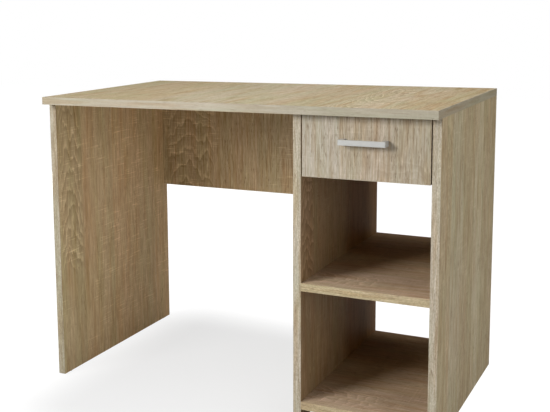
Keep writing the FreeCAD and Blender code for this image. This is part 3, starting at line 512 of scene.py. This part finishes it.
def cap_board(name, board, finish):
    """Caps on the cams that lie in one upright, on the face that each cam is flush with. Returns how many."""
    low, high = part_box(board)
    turns = [2 * pi * k / CAP_SIDES for k in range(CAP_SIDES)]
    shape = bmesh.new()
    for cam_low, cam_high in islands("cam_housings"):
        if not (low.x - NEAR < cam_low.x and cam_high.x < high.x + NEAR and cam_high.z > high.z - TOP_END):
            continue
        out = 1 if high.x - cam_high.x < NEAR else -1
        face = high.x if out > 0 else low.x
        y, z = (cam_low.y + cam_high.y) / 2, (cam_low.z + cam_high.z) / 2
        rings = []
        for reach, rise in CAP_PROFILE:
            rings.append([shape.verts.new((face + out * rise * CAP_THICK, y + reach * CAP_RADIUS * cos(t),
                                           z + reach * CAP_RADIUS * sin(t))) for t in turns])
        for inner, outer in zip(rings[1:], rings):
            for k in range(CAP_SIDES):
                n = (k + 1) % CAP_SIDES
                shape.faces.new((outer[k], outer[n], inner[n], inner[k]))
        shape.faces.new(rings[-1])
        shape.faces.new(rings[0][::-1])
    bmesh.ops.recalc_face_normals(shape, faces=shape.faces)
    mesh = bpy.data.meshes.new(name)
    shape.to_mesh(mesh)
    shape.free()
    caps = bpy.data.objects.new(name, mesh)
    bpy.context.scene.collection.objects.link(caps)
    mesh.materials.append(finish)
    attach(caps, "desk_frame")
    return len(mesh.polygons) // (CAP_SIDES * (len(CAP_PROFILE) - 1) + 2)


for name, board in (("left_cam_caps", "left_side_panel"), ("inner_cam_caps", "cabinet_inner_side"),
                    ("outer_cam_caps", "cabinet_outer_side")):
    print(name, cap_board(name, board, nodes[board].material_slots[0].material))

# %% [markdown]
# ## Drawer front
# The drawer front is one small board, so it shows only three staves. They are nearly alike, and the right one
# has a trace of figure in its lower half.

# %% Dress the drawer front
DRAWER_STAVES = [(PRINT_START, (1.07, 1.11, 1.23)), (0.280, (1.09, 1.08, 1.14)), (0.385, (1.02, 1.03, 1.08))]
DRAWER_FIGURE = Figure(middle=0.42, half=0.070, low=0.54, high=0.66, spacing=0.022,
                       bow=260, wander=4.0, strength=0.13)
dress(oak_board("drawer_front_oak", "X", "Z", "Y", DRAWER_STAVES, figure=DRAWER_FIGURE, seed=23, streaky=1.3),
      "drawer_front")
print("drawer front dressed")

# %% [markdown]
# ## Edge bands
# The cut edges are covered with a thin printed plastic strip, glued on and trimmed. Its print runs along the
# strip and is paler and plainer than the boards', with a fine speckle, and it has no core to show. A strip on
# the front of an upright stands, and one on the top or a shelf lies. The top's strips turn the corner, so
# theirs takes its direction from the way it faces, and its ends that face sideways are darkened with painted shade.

# %% Dress the edge bands
STANDING_TINT, LEFT_TINT = (1.16, 1.20, 1.31), (0.88, 0.90, 0.93)
TOP_TINT, SHELF_TINT = (0.92, 0.95, 1.01), (1.18, 1.10, 0.98)
PICK_A, PICK_B, PICK_RESULT = 4, 5, 1       # a Mix node's sockets when it mixes vectors


def edge_band(name, across, along, through, tint, seed, turned_along=None, streaky=0.6, speckled=1.0):
    """A printed strip. With turned_along, the parts that face along X have their grain that way, a shade darker."""
    finish, tree, shader = new_finish(name)
    laid = lay(tree, across, along, through)
    if turned_along:
        ends = ramp(tree, maths(tree, "ABSOLUTE", facing(tree, "X")), 0.6, 0.8)
        pick = wire(tree, "Mix", {0: ends}, data_type="VECTOR")
        tree.links.new(laid, pick.inputs[PICK_A])
        tree.links.new(lay(tree, across, turned_along, through), pick.inputs[PICK_B])
        laid = pick.outputs[PICK_RESULT]
    colour, height = oak_print(tree, laid, [(PRINT_START, tint)], seed=seed, streaky=streaky, sawn=0.5)
    speckle = stretched(tree, laid, (0.0020, 0.0060, 1), seed + 3, 3.0, 0.7)
    colour = tinted(tree, ramp(tree, speckle, 0.36, 0.62, 0.0, speckled), colour, (0.76, 0.74, 0.70))
    colour = tinted(tree, speckled, colour, (1.13, 1.14, 1.15))
    if turned_along:
        # Painted shade: the top's band ends that face along X are darkened to the tone of the cabinet's side, as if
        # less light fell on them.
        colour = tinted(tree, ends, colour, (0.84, 0.82, 0.76))
    skin(tree, shader, colour, height, gloss=0.48)
    return finish


dress(edge_band("lying_band", "Z", "X", "Y", TOP_TINT, 31, turned_along="Y", streaky=0.4, speckled=0.2),
      "top_edge_bands")
dress(edge_band("shelf_band", "Z", "X", "Y", SHELF_TINT, 33, streaky=0.9), "middle_shelf_edge_bands",
      "bottom_shelf_edge_bands", "modesty_edge_band")
dress(edge_band("left_band", "X", "Z", "Y", LEFT_TINT, 37, streaky=1.1), "left_side_edge_bands")
dress(edge_band("standing_band", "X", "Z", "Y", STANDING_TINT, 35, streaky=1.1), "inner_side_edge_bands",
      "outer_side_edge_bands", "drawer_front_edge_bands")
print("edge bands dressed")

# %% [markdown]
# ## Drawer box
# The box behind the drawer front is thinner board with the same oak print and printed foil on its top edges,
# and a sheet of hardboard slid into its grooves.

# %% Dress the drawer box
BOX_STAVES = [(PRINT_START, (1.0, 0.98, 0.93))]
dress(oak_board("box_side_oak", "Z", "Y", "X", BOX_STAVES, seed=41, sawn=0.4), "drawer_left_side",
      "drawer_right_side")
dress(oak_board("box_back_oak", "Z", "X", "Y", BOX_STAVES, seed=43, sawn=0.4), "drawer_back")
dress(edge_band("box_side_foil", "X", "Y", "Z", STANDING_TINT, 45), "drawer_left_side_band", "drawer_right_side_band")
dress(edge_band("box_back_foil", "Y", "X", "Z", STANDING_TINT, 47), "drawer_back_band")


def hardboard_sheet():
    """Brown pressed fibre, smooth and a little shiny, with darker specks."""
    finish, tree, shader = new_finish("hardboard_sheet")
    here = wire(tree, "TexCoord").outputs["Object"]
    fibre = wire(tree, "TexNoise", {"Vector": here, "Scale": 650.0, "Detail": 4.0, "Roughness": 0.7}).outputs[0]
    cloud = wire(tree, "TexNoise", {"Vector": here, "Scale": 18.0, "Detail": 2.0}).outputs[0]
    colour = blend(tree, fibre, (0.26, 0.155, 0.08), (0.44, 0.29, 0.16))
    colour = tinted(tree, ramp(tree, cloud, 0.4, 0.7, 0.0, 0.5), colour, (0.80, 0.76, 0.72))
    skin(tree, shader, colour, fibre, gloss=0.38)
    return finish


dress(hardboard_sheet(), "drawer_bottom")
print("drawer box dressed")

# %% [markdown]
# ## Fittings
# The metal and plastic parts are small, so each finish is one colour with the marks of how it was made:
# cast zinc is dull and pitted, plated screws are bright with drawn lines, runners are rolled steel under
# a thick paint, and the rollers are moulded nylon. The handle's satin lines run along its bar.

# %% Dress the fittings
def worked(name, colour, rough, grain, depth, metallic=1.0):
    """One colour with fine marks. grain is their size along X, Y and Z and depth their depth, in metres.

    metallic is 1 for bare metal and 0 for paint, plastic and wood.
    """
    finish, tree, shader = new_finish(name)
    here = wire(tree, "TexCoord").outputs["Object"]
    scale = tuple(1 / g for g in grain)
    spot = wire(tree, "VectorMath", {0: here, 1: scale}, operation="MULTIPLY").outputs[0]
    marks = wire(tree, "TexNoise", {"Vector": spot, "Scale": 1.0, "Detail": 3.0, "Roughness": 0.6}).outputs[0]
    dull = wire(tree, "TexNoise", {"Vector": here, "Scale": 60.0, "Detail": 2.0}).outputs[0]
    shade = blend(tree, ramp(tree, dull, 0.35, 0.7, 0.0, 0.35), colour, tuple(c * 0.82 for c in colour))
    shade = blend(tree, ramp(tree, marks, 0.45, 0.75, 0.0, 0.25), shade, tuple(min(1, c * 1.12) for c in colour))
    tree.links.new(shade, shader.inputs["Base Color"])
    tree.links.new(ramp(tree, marks, 0.3, 0.7, rough - 0.06, rough + 0.08), shader.inputs["Roughness"])
    press = wire(tree, "Bump", {"Height": marks, "Strength": 0.3, "Distance": depth})
    tree.links.new(press.outputs[0], shader.inputs["Normal"])
    shader.inputs["Metallic"].default_value = metallic
    return finish


dress(worked("cast_zinc", (0.60, 0.60, 0.59), 0.42, (0.0008, 0.0008, 0.0008), 0.0001),
      "cam_housings", "drawer_cam_housings")
dress(worked("zinc_plate", (0.66, 0.67, 0.68), 0.26, (0.0003, 0.004, 0.0003), 0.00004),
      "cam_bolts", "drawer_cam_bolts", "cabinet_roller_axles", "drawer_roller_axles", "cabinet_runner_screws",
      "drawer_runner_screws", "drawer_back_screws", "handle_screws", "glide_nails")
dress(worked("runner_paint", (0.80, 0.79, 0.75), 0.36, (0.0016, 0.0016, 0.0016), 0.00008, metallic=0.0),
      "cabinet_runner_left", "cabinet_runner_right", "drawer_runner_left", "drawer_runner_right")
dress(worked("roller_nylon", (0.83, 0.82, 0.78), 0.44, (0.0011, 0.0011, 0.0011), 0.00005, metallic=0.0),
      "cabinet_roller_left", "cabinet_roller_right", "drawer_roller_left", "drawer_roller_right")
dress(worked("glide_plastic", (0.16, 0.11, 0.07), 0.50, (0.0013, 0.0013, 0.0013), 0.0001, metallic=0.0),
      "floor_glides")
dress(worked("dowel_beech", (0.62, 0.44, 0.27), 0.62, (0.006, 0.0005, 0.0005), 0.0002, metallic=0.0),
      "carcass_dowels", "drawer_dowels")
dress(worked("handle_satin", (0.53, 0.53, 0.51), 0.42, (0.030, 0.0004, 0.0004), 0.00005, metallic=0.15),
      "handle")
print("fittings dressed")

# %% [markdown]
# ## Soft edges
# No real edge is a perfect corner. A band is trimmed and scraped, and the handle is cast and brushed, so
# their edges are rounded and catch a line of light. The model's faces are joined and flattened first, so that
# only real edges are rounded, and never the lines between the triangles of a flat face. The bands of the top
# and of the drawer front meet at their corners, and rounding such a meeting would push it outwards, so those
# two keep their plain corners.

# %% Round the edges
def soften(width, steps, *names):
    """Rounds the edges of named pieces to a width in metres. Returns how many pieces."""
    flat_within, real_edge = radians(1), radians(50)
    for name in names:
        piece = nodes[name]
        piece.modifiers.new("join", "WELD").merge_threshold = 1e-6
        flat = piece.modifiers.new("flatten", "DECIMATE")
        flat.decimate_type, flat.angle_limit = "DISSOLVE", flat_within
        bevel = piece.modifiers.new("round", "BEVEL")
        bevel.width, bevel.segments, bevel.limit_method, bevel.angle_limit = width, steps, "ANGLE", real_edge
        piece.modifiers.new("shade", "WEIGHTED_NORMAL")
    return len(names)


print(soften(0.0003, 2, "left_side_edge_bands", "inner_side_edge_bands", "outer_side_edge_bands",
             "modesty_edge_band", "middle_shelf_edge_bands", "bottom_shelf_edge_bands"), "bands rounded")
print(soften(0.0009, 3, "handle"), "handle rounded")
